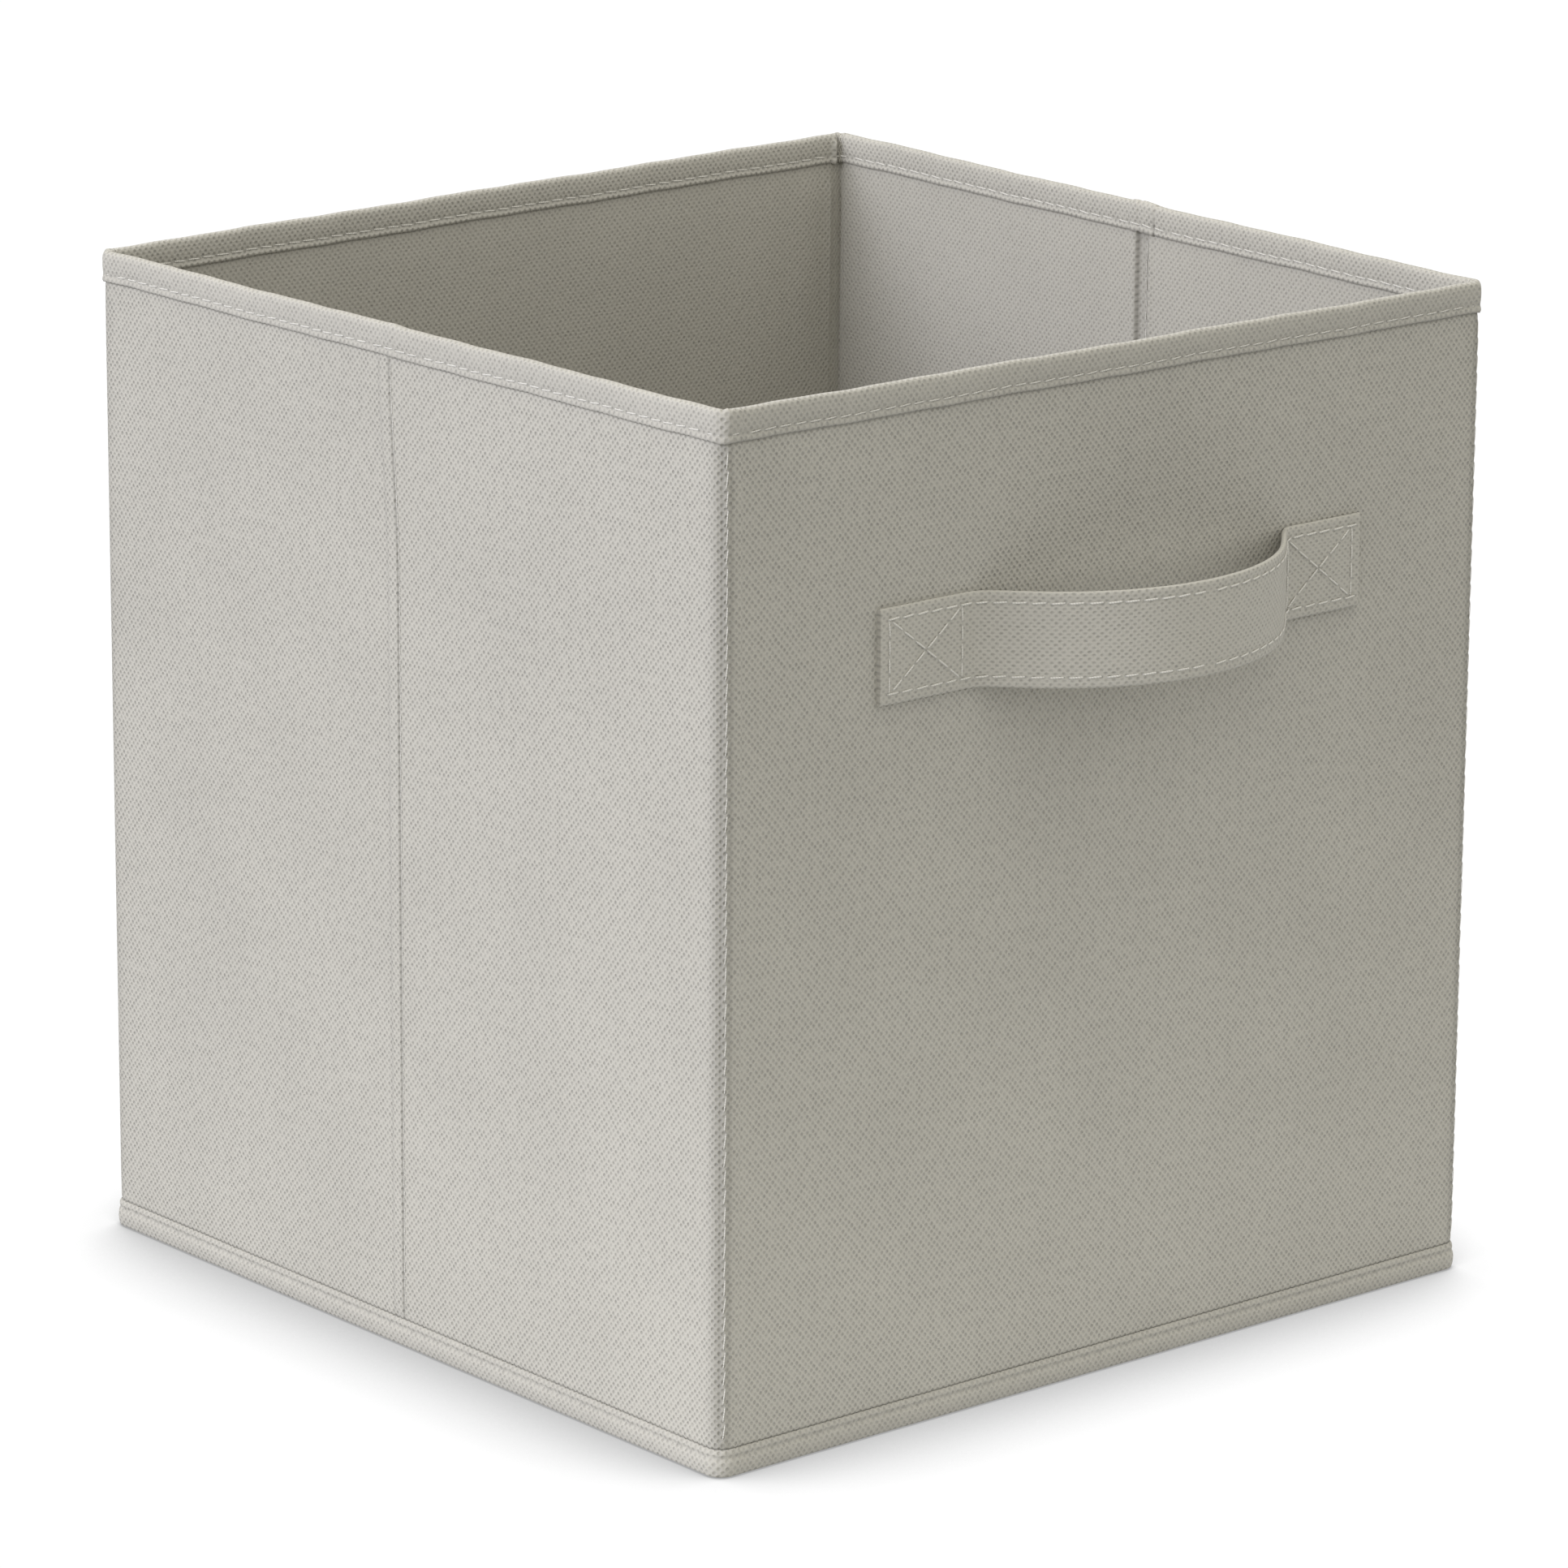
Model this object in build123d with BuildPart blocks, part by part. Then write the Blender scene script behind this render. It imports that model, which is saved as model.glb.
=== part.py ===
"""Folding fabric storage bin: a square open box of non-woven cloth over stiffening boards.

Frame: millimetres, +Z up, origin on the floor under the middle of the bin. The front wall,
which carries the handle strap, faces -Y. The two side walls at -X and +X are each made of two
halves that fold inwards on a vertical crease, so the front wall closes against the back wall.
"""
import os
from math import radians, tan

from build123d import *

# Overall size over the outer faces of the covers
WIDTH = 266.0
DEPTH = 266.0
HEIGHT = 280.0

# Layers of a wall, from the outside in: cover, stiffening board, lining
CLOTH = 0.4
BOARD = 1.4
WALL = CLOTH + BOARD + CLOTH

# Binding tape folded over the rim
TAPE = 0.4
RIM_DEPTH = 8.7
RIM_FOOT = HEIGHT - RIM_DEPTH

# Doubled tape that wraps the bottom edge of each wall
HEM_HEIGHT = 7.8
HEM_PROUD = 0.9
HEM_FLOOR = 0.5

# Walls start above the loose base board, inside the bottom tape
WALL_FOOT = 5.0
WALL_TOP = HEIGHT - TAPE
BOARD_MARGIN = 4.0
BOARD_FOOT = 12.0
BOARD_TOP = HEIGHT - 6.0

# Side walls: room at the corner folds and at the middle crease
FOLD_ROOM = 0.3
SIDE_END = DEPTH / 2 - WALL - TAPE - FOLD_ROOM
CREASE = 3.0
CREASE_WEB = 2 * CLOTH
CORNER_RADIUS = 1.5

# Base: a sheet sewn in with the bottom tape, and a loose board in a cloth sleeve on top of it
BASE_CLOTH = 0.4
BASE_GAP = 0.3
BASE_BOARD = 2.6
BASE_CLEARANCE = 2.4

# Handle strap, sewn to the front wall at both ends and bowed out between them
STRAP_WIDTH = 25.6
STRAP = 1.6
STRAP_HEIGHT = 209.8
STRAP_CENTRE = 2.6
STRAP_END = 84.4
BOW_CENTRE = 5.5
BOW = 29.8
BOW_RADIUS = 61.5
BOW_ANGLE = 45.7
BOW_FREE = 40.0
KNEE_RADII = (13.8, 2.0)
STRAP_ROOM = 0.3

# Plan frame of each wall: x along the wall, y into the bin, origin mid-wall on the outer face
FRONT = Plane(origin=(0, -DEPTH / 2, 0), x_dir=(1, 0, 0), z_dir=(0, 0, 1))
BACK = Plane(origin=(0, DEPTH / 2, 0), x_dir=(-1, 0, 0), z_dir=(0, 0, 1))
LEFT = Plane(origin=(-WIDTH / 2, 0, 0), x_dir=(0, -1, 0), z_dir=(0, 0, 1))
RIGHT = Plane(origin=(WIDTH / 2, 0, 0), x_dir=(0, 1, 0), z_dir=(0, 0, 1))

# Wall sections: plan frame, start and end along the wall, and whether it turns both corners
SECTIONS = {
    "front": (FRONT, -WIDTH / 2, WIDTH / 2, True),
    "back": (BACK, -WIDTH / 2, WIDTH / 2, True),
    "left_rear": (LEFT, -SIDE_END, -CREASE / 2, False),
    "left_front": (LEFT, CREASE / 2, SIDE_END, False),
    "right_front": (RIGHT, -SIDE_END, -CREASE / 2, False),
    "right_rear": (RIGHT, CREASE / 2, SIDE_END, False),
}


def save(piece, name):
    """Label a finished piece and write it to its own file."""
    piece.part.label = name
    export_step(piece.part, f"parts/{name}.step")


def plan_strip(start, end, near, far, mode=Mode.ADD):
    """A rectangle in a wall's plan: start..end along the wall, near..far into the bin."""
    with Locations(((start + end) / 2, (near + far) / 2)):
        Rectangle(end - start, far - near, mode=mode)


def round_outer_corners():
    """Round the two upright edges of the piece being built that lie farthest from the middle."""
    fillet(edges().filter_by(Axis.Z).group_by(SortBy.DISTANCE)[-1], CORNER_RADIUS)


def outer_cover(plane, start, end, turns_corners):
    """Outside cloth: a flat sheet whose ends turn in to close the board's pocket."""
    with BuildPart() as cover:
        with BuildSketch(plane.offset(WALL_FOOT)):
            plan_strip(start, end, 0, WALL)
            plan_strip(start + CLOTH, end - CLOTH, CLOTH, WALL, Mode.SUBTRACT)
        extrude(amount=WALL_TOP - WALL_FOOT)
    return cover


def lining(plane, start, end, turns_corners):
    """Inside cloth, between the turned-in ends of the cover."""
    with BuildPart() as inner:
        with BuildSketch(plane.offset(WALL_FOOT)):
            plan_strip(start + CLOTH, end - CLOTH, WALL - CLOTH, WALL)
        extrude(amount=WALL_TOP - WALL_FOOT)
    return inner


def stiffener_board(plane, start, end, turns_corners):
    """Chipboard panel in the pocket between cover and lining."""
    with BuildPart() as panel:
        with BuildSketch(plane.offset(BOARD_FOOT)):
            plan_strip(start + BOARD_MARGIN, end - BOARD_MARGIN, CLOTH, WALL - CLOTH)
        extrude(amount=BOARD_TOP - BOARD_FOOT)
        fillet(edges().filter_by(Axis((0, 0, 0), plane.y_dir)), BOARD_MARGIN)
    return panel


def top_binding(plane, start, end, turns_corners):
    """Tape folded over the rim, with a leg down each side of the wall."""
    cap = TAPE if turns_corners else 0
    with BuildPart() as tape:
        with BuildSketch(plane.offset(RIM_FOOT)):
            plan_strip(start - cap, end + cap, -TAPE, WALL + TAPE)
        extrude(amount=RIM_DEPTH)
        if turns_corners:
            round_outer_corners()
        with BuildSketch(plane.offset(RIM_FOOT)):
            plan_strip(start, end, 0, WALL)
        extrude(amount=RIM_DEPTH - TAPE, mode=Mode.SUBTRACT)
    return tape


def bottom_binding(plane, start, end, turns_corners):
    """Doubled tape round the wall's bottom edge, standing a little proud of the cover."""
    cap = HEM_PROUD if turns_corners else 0
    with BuildPart() as tape:
        with BuildSketch(plane):
            plan_strip(start - cap, end + cap, -HEM_PROUD, WALL + TAPE)
        extrude(amount=HEM_HEIGHT)
        if turns_corners:
            round_outer_corners()
        with BuildSketch(plane.offset(HEM_FLOOR)):
            plan_strip(start, end, 0, WALL)
        extrude(amount=HEM_HEIGHT - HEM_FLOOR, mode=Mode.SUBTRACT)
    return tape


WALL_LAYERS = {
    "outer_cover": outer_cover,
    "stiffener_board": stiffener_board,
    "lining": lining,
    "top_binding": top_binding,
    "bottom_binding": bottom_binding,
}


def make_walls():
    """All six wall sections, each from the same five layers."""
    for section, (plane, start, end, turns_corners) in SECTIONS.items():
        for layer, build in WALL_LAYERS.items():
            save(build(plane, start, end, turns_corners), f"{section}_{layer}")


def make_crease_seams():
    """Cover and lining sewn together between the two boards of a side wall."""
    for side, plane, rear in (("left", LEFT, -1), ("right", RIGHT, 1)):
        with BuildPart() as seam:
            with BuildSketch(plane.offset(WALL_FOOT)):
                ends = sorted((rear * CREASE / 2, rear * FOLD_ROOM))
                plan_strip(ends[0], ends[1], 0, CREASE_WEB)
            extrude(amount=WALL_TOP - WALL_FOOT)
        save(seam, f"{side}_crease_seam")


def make_base():
    """Sewn-in base sheet, and the loose base board with its cloth sleeve."""
    inset = WALL + TAPE
    with BuildPart() as sheet:
        with BuildSketch(Plane.XY):
            Rectangle(WIDTH - 2 * inset, DEPTH - 2 * inset)
        extrude(amount=BASE_CLOTH)
    save(sheet, "base_sheet")

    sleeve_foot = BASE_CLOTH + BASE_GAP
    board_width = WIDTH - 2 * (inset + BASE_CLEARANCE + CLOTH)
    board_depth = DEPTH - 2 * (inset + BASE_CLEARANCE + CLOTH)
    with BuildPart() as board:
        with BuildSketch(Plane.XY.offset(sleeve_foot + CLOTH)):
            Rectangle(board_width, board_depth)
        extrude(amount=BASE_BOARD)
    save(board, "base_board")

    with BuildPart() as sleeve:
        with BuildSketch(Plane.XY.offset(sleeve_foot)):
            Rectangle(board_width + 2 * CLOTH, board_depth + 2 * CLOTH)
        extrude(amount=BASE_BOARD + 2 * CLOTH)
        with BuildSketch(Plane.XY.offset(sleeve_foot + CLOTH)):
            Rectangle(board_width, board_depth)
        extrude(amount=BASE_BOARD, mode=Mode.SUBTRACT)
    save(sleeve, "base_board_sleeve")


def strap_piece(start, end, name):
    """The stretch of the strap from start to end across the front wall."""
    wall_line = -STRAP / 2
    with BuildPart() as strap:
        with BuildSketch(FRONT.offset(STRAP_HEIGHT - STRAP_WIDTH / 2)):
            with BuildLine():
                bow = CenterArc((BOW_CENTRE, BOW_RADIUS - BOW), BOW_RADIUS, 270 - BOW_ANGLE, 2 * BOW_ANGLE)
                for side, foot, radius in ((-1, bow @ 0, KNEE_RADII[0]), (1, bow @ 1, KNEE_RADII[1])):
                    run = (wall_line - foot.Y) / tan(radians(BOW_ANGLE))
                    knee = Vector(foot.X + side * run, wall_line)
                    FilletPolyline(
                        (STRAP_CENTRE + side * STRAP_END, wall_line), knee, foot, radius=radius
                    )
            trace(line_width=STRAP)
            plan_strip(start, end, -BOW - STRAP, 0, Mode.INTERSECT)
        extrude(amount=STRAP_WIDTH)
    save(strap, name)


def make_handle():
    """Sewn ends, which stay on the wall, and the free middle of the strap, which swings."""
    gap = BOW_FREE + STRAP_ROOM
    strap_piece(STRAP_CENTRE - STRAP_END, BOW_CENTRE - gap, "handle_left_end")
    strap_piece(BOW_CENTRE + gap, STRAP_CENTRE + STRAP_END, "handle_right_end")
    strap_piece(BOW_CENTRE - BOW_FREE, BOW_CENTRE + BOW_FREE, "handle_strap")


def main():
    """Build every piece."""
    os.makedirs("parts", exist_ok=True)
    make_walls()
    make_crease_seams()
    make_base()
    make_handle()


main()
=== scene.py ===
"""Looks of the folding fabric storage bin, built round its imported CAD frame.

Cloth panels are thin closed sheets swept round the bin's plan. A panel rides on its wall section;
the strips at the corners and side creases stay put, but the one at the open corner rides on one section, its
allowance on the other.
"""
import math
import random
from collections import namedtuple
from functools import partial

import bpy
import numpy as np
from mathutils import Matrix, Vector


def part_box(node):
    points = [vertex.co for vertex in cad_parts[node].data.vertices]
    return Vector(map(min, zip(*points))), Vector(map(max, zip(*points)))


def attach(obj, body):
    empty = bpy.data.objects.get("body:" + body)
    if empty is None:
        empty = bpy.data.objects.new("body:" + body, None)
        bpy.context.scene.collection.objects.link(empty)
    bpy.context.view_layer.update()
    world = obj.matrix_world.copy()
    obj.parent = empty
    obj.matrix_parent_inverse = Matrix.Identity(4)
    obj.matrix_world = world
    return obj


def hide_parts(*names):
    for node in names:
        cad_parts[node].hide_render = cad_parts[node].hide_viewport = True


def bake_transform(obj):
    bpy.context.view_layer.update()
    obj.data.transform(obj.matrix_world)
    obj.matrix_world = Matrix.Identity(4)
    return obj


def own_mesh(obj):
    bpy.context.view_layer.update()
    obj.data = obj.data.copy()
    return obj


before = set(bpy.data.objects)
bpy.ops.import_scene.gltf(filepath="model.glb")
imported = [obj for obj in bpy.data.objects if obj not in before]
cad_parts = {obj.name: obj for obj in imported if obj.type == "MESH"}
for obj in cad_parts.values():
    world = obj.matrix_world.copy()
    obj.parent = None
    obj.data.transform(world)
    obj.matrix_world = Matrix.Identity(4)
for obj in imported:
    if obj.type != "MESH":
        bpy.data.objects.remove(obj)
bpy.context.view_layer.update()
random.seed(7)

MM = 0.001

# Sizes read from the frame; the rim tape's foot is trimmed a little against the CAD's
COVER_LOW, COVER_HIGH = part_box("front_outer_cover")
TAPE_LOW, TAPE_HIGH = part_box("front_top_binding")
HEM_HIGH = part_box("front_bottom_binding")[1]
LINING_LOW, LINING_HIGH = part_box("front_lining")
HALF_X = COVER_HIGH.x
HALF_Y = -COVER_LOW.y
RIM = TAPE_HIGH.z
RIM_FOOT = TAPE_LOW.z + 0.6 * MM
HEM_TOP = HEM_HIGH.z
HEM_OUT = HEM_HIGH.x - HALF_X
WALL = LINING_HIGH.y + HALF_Y
TAPE = TAPE_HIGH.y - LINING_HIGH.y
WALL_FOOT = LINING_LOW.z

CLOTH = 0.4 * MM
CORNER = 4.2 * MM
STITCH_PITCH = 4.9 * MM
STITCH_LENGTH = 4.3 * MM
LONG_STITCH = 4.7 * MM
THREAD = 0.18 * MM
RIM_STITCH_Z = RIM - 6.1 * MM

# Plan of the outer face: for each wall its middle, its direction, its outward side, its half length
WALL_FRAMES = (
    ((0, -HALF_Y), (1, 0), (0, -1), HALF_X),
    ((HALF_X, 0), (0, 1), (1, 0), HALF_Y),
    ((0, HALF_Y), (-1, 0), (0, 1), HALF_X),
    ((-HALF_X, 0), (0, -1), (-1, 0), HALF_Y),
)
FRONT, RIGHT, BACK, LEFT = range(4)
MIDDLES, WAYS, OUTS = (np.array([w[i] for w in WALL_FRAMES], float) for i in range(3))
FLATS = np.array([2 * (w[3] - CORNER) for w in WALL_FRAMES])
ARC = CORNER * math.pi / 2
STARTS = np.concatenate([[0], np.cumsum(FLATS + ARC)])
PERIMETER = STARTS[4]

# The corner seams stand this far round from the middle of the corner
SEAM_SHIFT = 1.2 * MM

# Strips at the corners and creases: how far a corner strip reaches on to the flat walls, half the crease
# strip
CORNER_REACH = 2.4 * MM
CREASE_REACH = 10 * MM


def at(wall, along):
    """Distance round the plan of the point at `along` from a wall's middle."""
    return STARTS[wall] + FLATS[wall] / 2 + along


def corner_mid(wall):
    """Distance round the plan of the middle of the corner that follows a wall."""
    return STARTS[wall] + FLATS[wall] + ARC / 2


def plan(t):
    """Points of the outer face and its outward directions at distances t round the plan."""
    t = np.mod(np.asarray(t, float), PERIMETER)
    k = np.clip(np.searchsorted(STARTS, t, side="right") - 1, 0, 3)
    local = t - STARTS[k]
    along = (np.minimum(local, FLATS[k]) - FLATS[k] / 2)[..., None]
    turn = (np.clip(local - FLATS[k], 0, None) / CORNER)[..., None]
    outward = OUTS[k] * np.cos(turn) + WAYS[k] * np.sin(turn)
    base = MIDDLES[k] + WAYS[k] * along - OUTS[k] * CORNER + outward * CORNER
    return base, outward


def seam_gap(t, wall):
    """Signed distance from the seam of the corner after a wall, on the front or back wall's side of it."""
    shift = -SEAM_SHIFT if wall in (FRONT, BACK) else SEAM_SHIFT
    return gap_round(t, corner_mid(wall) + shift)


def gap_round(t, mark):
    """Signed distance round the plan from a mark to t, the short way."""
    return (t - mark + PERIMETER / 2) % PERIMETER - PERIMETER / 2


def bell(x, width):
    """A smooth bump, 1 at x = 0 and almost 0 past twice the width."""
    return np.exp(-((x / width) ** 2))


def ease(x, low, high):
    """Smooth step from 0 at low to 1 at high."""
    s = np.clip((x - low) / (high - low), 0, 1)
    return s * s * (3 - 2 * s)


def near_corners(t, width):
    """A bump in the middle of each of the four corners."""
    return sum(bell(gap_round(t, corner_mid(wall)), width) for wall in range(4))


# Waves of the rim: how many round the plan, height in millimetres, phase
RIM_WAVES = ((13, 0.09, 1.1), (31, 0.07, 4.0), (67, 0.05, 2.2))
RIM_WARP = 0.8 * MM


def rim_lift(t, xy, z):
    """How far the cloth at height z is lifted: the rim is a little wavy and warped."""
    warp = RIM_WARP * xy[..., 0] * xy[..., 1] / (HALF_X * HALF_Y)
    round_plan = 2 * np.pi * t / PERIMETER
    lift = sum(height * np.sin(turns * round_plan + phase) for turns, height, phase in RIM_WAVES)
    lift = lift + 0.35 * bell(gap_round(t, at(LEFT, -2 * MM)), 3.5 * MM)
    lift = lift + 0.3 * bell(gap_round(t, at(RIGHT, 0)), 5 * MM)
    lift = lift - 0.3 * near_corners(t, 0.8 * MM)
    return (warp + lift * MM) * (z / RIM) ** 2


def place(t, out, z):
    """Points at distance t round the plan, `out` proud of the wall's outer face, and height z."""
    t, out, z = np.broadcast_arrays(t, out, z)
    base, outward = plan(t)
    xy = base + outward * out[..., None]
    return np.concatenate([xy, (z + rim_lift(t, base, z))[..., None]], axis=-1)


# ---- relief of the cloth


# Heights of the relief, in millimetres
COVER_SLACK = 0.14
LINING_SLACK = 0.18
CORNER_SLACK = 0.6
LAP_LEDGE = 0.38
SEAM_RIDGE = 0.32
SEAM_HOLLOW = 0.16
HEM_PUCKER = 0.10
CREASE_DIP = 1.25
CREASE_CRUMPLE = 0.10
CREASE_EDGE = 0.30
TAPE_PUFF = 0.12
TAPE_DRAW = 0.22
TAPE_EDGE = 0.10
LAPPED_TAPE = 0.42
PINCHED_TAPE = 0.9

# Slow waves of slack cloth: how many round the plan, and how fast the phase rises with height
SLACK_WAVES = ((7, 5), (12, -8), (19, 11), (31, -9), (50, 14))

# Each side crease: its wall, and which way round the plan is the rear of the bin
CREASES = ((LEFT, -1), (RIGHT, 1))


def slow_waves(t, z, seed):
    """Gentle hollows and swellings of cloth over board, from 0 to 1, that join up round the plan."""
    total = np.zeros(np.broadcast(t, z).shape)
    for i, (turns, rise) in enumerate(SLACK_WAVES):
        phase = 1.7 * i + seed
        total = total + np.sin(turns * 2 * np.pi * t / PERIMETER + rise * z + phase) / (1 + 0.5 * i)
    return 0.5 + 0.5 * np.tanh(0.7 * total)


def seam_line(z):
    """How far the lapped side seam stands behind the crease: it leans back towards the rim."""
    return (-0.6 + 3.6 * ease(z, RIM - 70 * MM, RIM)) * MM


def behind_seams(t, z):
    """How far behind the lapped seam a place lies, for each of the two side walls."""
    return [rear * gap_round(t, at(wall, 0)) - seam_line(z) for wall, rear in CREASES]


def from_creases(t):
    """Distance from the crease, for each of the two side walls."""
    return [np.abs(gap_round(t, at(wall, 0))) for wall, _ in CREASES]


def lap(t, z):
    """The lapped seam in the middle of each side wall: a low ledge behind the seam line."""
    height = 0
    for d in behind_seams(t, z):
        ledge = ease(d, -0.15 * MM, 0.25 * MM) * (1 - ease(d, 3.4 * MM, 4.8 * MM))
        height = height + LAP_LEDGE * ledge + 0.10 * bell(d + 0.9 * MM, 0.7 * MM)
    return height


def cover_relief(t, z):
    """Height of the outer cover over its board, drawn in only at its seams and under the tapes."""
    inside = ease(z, HEM_TOP, HEM_TOP + 9 * MM) * (1 - ease(z, RIM_FOOT - 9 * MM, RIM_FOOT))
    relief = COVER_SLACK * slow_waves(t, z, 0.4) * inside + lap(t, z) * ease(z, HEM_TOP, HEM_TOP + 3 * MM)
    for wall in range(4):
        d = seam_gap(t, wall)
        tuck = 0.72 + 0.28 * np.cos(2 * np.pi * z / STITCH_PITCH)
        ridge = SEAM_RIDGE * bell(d, 0.6 * MM) * tuck
        hollow = -SEAM_HOLLOW * (bell(d - 1.3 * MM, 0.5 * MM) + bell(d + 1.3 * MM, 0.5 * MM))
        relief = relief + (ridge + hollow) * (0.35 + 0.65 * inside)
    pucker = HEM_PUCKER * np.cos(2 * np.pi * t / STITCH_PITCH) * bell(z - HEM_TOP - 1.2 * MM, 1.4 * MM)
    lip = -0.15 * (1 - ease(z, HEM_TOP - 0.1 * MM, HEM_TOP + 0.9 * MM))
    under_tape = -0.2 * bell(z - RIM_FOOT, 0.7 * MM)
    return (relief + pucker + lip + under_tape) * MM


def cover_painted_shade(t, z):
    """Painted shade on the cover, from 0 to 1: in its crevices under the rim tape, over the hem and at the
    seams, and where it turns round each corner.
    """
    shade = 0.5 * bell(z - RIM_FOOT + 0.1 * MM, 0.3 * MM) + 0.45 * bell(z - HEM_TOP - 0.1 * MM, 0.3 * MM)
    for d in behind_seams(t, z):
        shade = shade + 0.7 * bell(d + 0.1 * MM, 0.3 * MM) + 0.25 * bell(d - 4.2 * MM, 0.6 * MM)
    for wall in range(4):
        d = seam_gap(t, wall)
        side = d if wall in (FRONT, BACK) else -d
        # Painted shade on the side wall's side of each corner seam, where the cover turns round the rounded
        # corner
        painted_turn_shade = 0.42 * bell(side - 1.5 * MM, 3.0 * MM)
        shade = shade + 0.25 * bell(np.abs(d) - 1.1 * MM, 0.45 * MM) + painted_turn_shade
    return np.clip(shade, 0, 1)


def lining_painted_shade(t, z):
    """Painted shade on the lining, from 0 to 1, in its crevices: under the rim tape, at its foot, corners
    and creases.
    """
    foot = 1 - ease(z, WALL_FOOT, WALL_FOOT + 3 * MM)
    shade = 0.45 * bell(z - RIM_FOOT + 0.1 * MM, 0.3 * MM) + 0.6 * foot
    for d in from_creases(t):
        shade = shade + 0.55 * bell(d - 2.3 * MM, 0.4 * MM) + 0.2 * (1 - ease(d, 1.6 * MM, 2.4 * MM))
    return np.clip(shade + 0.5 * near_corners(t, 0.7 * MM), 0, 1)


def tape_painted_shade(t, z):
    """Painted shade on the rim tape: where it is drawn in along its stitches and at its foot, and on its
    inner leg where it is pinched and lapped once each.
    """
    inner = (np.arange(t.shape[1]) >= t.shape[1] / 2)[None, :]
    pinch = 0.8 * bell(gap_round(t, corner_mid(RIGHT)) - 2.3 * MM, 0.5 * MM)
    lapped_end = 0.7 * bell(gap_round(t, at(RIGHT, 0)) + 5.1 * MM, 0.3 * MM)
    lapped_end = lapped_end * (1 - ease(z, RIM - 5 * MM, RIM - 3 * MM))
    shade = 0.25 * bell(z - RIM_STITCH_Z, 0.45 * MM) + 0.25 * bell(z - RIM_FOOT, 0.2 * MM)
    return np.clip(shade + inner * (pinch + lapped_end), 0, 1)


def hem_painted_shade(t, z):
    """Painted shade on the hem along its top, and at the needle's marks in the groove below its turned seam.
    """
    # Painted shade at each needle's mark, one at each stitch
    marks = (0.5 + 0.5 * np.cos(2 * np.pi * t / STITCH_PITCH)) ** 3
    top = 0.35 * bell(z - HEM_TOP - 0.1 * MM, 0.4 * MM)
    return np.clip(top + 0.45 * marks * bell(z - HEM_TOP + 2.1 * MM, 0.4 * MM), 0, 1)


def lining_relief(t, z):
    """Height of the lining into the bin. At the creases it dips to where it is sewn to the cover."""
    inside = ease(z, WALL_FOOT, WALL_FOOT + 10 * MM) * (1 - ease(z, RIM_FOOT - 9 * MM, RIM_FOOT))
    relief = LINING_SLACK * slow_waves(t, z, 2.9) * inside
    behind = gap_round(t, corner_mid(RIGHT))
    slack = ease(behind, 1.5 * MM, 5 * MM) * (1 - ease(behind, 9 * MM, 26 * MM))
    slack = slack * (0.6 + 0.4 * np.cos(z / (21 * MM)))
    ripples = 1 + np.sin(2 * np.pi * behind / (7.5 * MM) + 2 * z / RIM)
    relief = relief + CORNER_SLACK * slack * ripples * inside
    for d in from_creases(t):
        valley = 1 - ease(d, 1.7 * MM, 2.9 * MM)
        crumple = CREASE_CRUMPLE * np.sin(2 * np.pi * z / (3.1 * MM) + 1.3 * np.sin(z / (2.2 * MM)))
        edge = CREASE_EDGE * bell(d - 3.6 * MM, 0.8 * MM)
        relief = relief - (CREASE_DIP - crumple) * valley + edge
    return relief * MM - corner_push(t)


def corner_push(t):
    """How far past its rounded path the lining reaches into the corners, to make them nearly square."""
    push = 0
    for wall in range(4):
        turn = np.clip(math.pi / 4 - np.abs(gap_round(t, corner_mid(wall))) / CORNER, 0, None)
        push = push + 0.9 * (CORNER - WALL) * (1 / np.cos(turn) - 1)
    return push


def tape_relief(t, z, outer):
    """Puff and puckers of the rim tape, drawn in along its row of stitches."""
    phase = 2 * np.pi * t / STITCH_PITCH
    puff = TAPE_PUFF * bell(z - RIM + 3.4 * MM, 2.0 * MM) * (0.7 + 0.6 * slow_waves(3 * t, z, 5.1))
    drawn = -TAPE_DRAW * bell(z - RIM_STITCH_Z, 0.7 * MM) * (0.7 - 0.3 * np.cos(phase))
    edge = TAPE_EDGE * bell(z - RIM_FOOT - 0.6 * MM, 0.7 * MM) * (1 + 0.3 * np.cos(phase + 0.8))
    return (outer_tape if outer else inner_tape)(t, z, puff + drawn + edge) * MM


def outer_tape(t, z, relief):
    """The outer leg's relief: it also lies over the left side's seam and the corner seams."""
    relief = relief + 0.3 * bell(-gap_round(t, at(LEFT, 0)) - 2 * MM, 2.6 * MM)
    over_seams = sum(bell(seam_gap(t, wall), 0.6 * MM) for wall in range(4))
    return relief + 0.25 * near_corners(t, 2.4 * MM) + 0.18 * over_seams


def inner_tape(t, z, relief):
    """The inner leg's relief: flat in the corners, lapped over the right crease, pinched by one corner."""
    relief = relief * (1 - near_corners(t, 2 * MM))
    lapped = gap_round(t, at(RIGHT, 0))
    end = ease(lapped, -5.2 * MM, -4.9 * MM) * (1 - ease(lapped, 4.6 * MM, 4.9 * MM))
    relief = relief + LAPPED_TAPE * end - 0.25 * bell(lapped - 1.2 * MM, 0.5 * MM)
    pinched = gap_round(t, corner_mid(RIGHT))
    pinch = PINCHED_TAPE * bell(pinched - 3.9 * MM, 0.8 * MM) - 0.35 * bell(pinched - 2.2 * MM, 0.7 * MM)
    return relief + pinch * (1 - ease(z, RIM - 2.5 * MM, RIM - 0.8 * MM))


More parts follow.
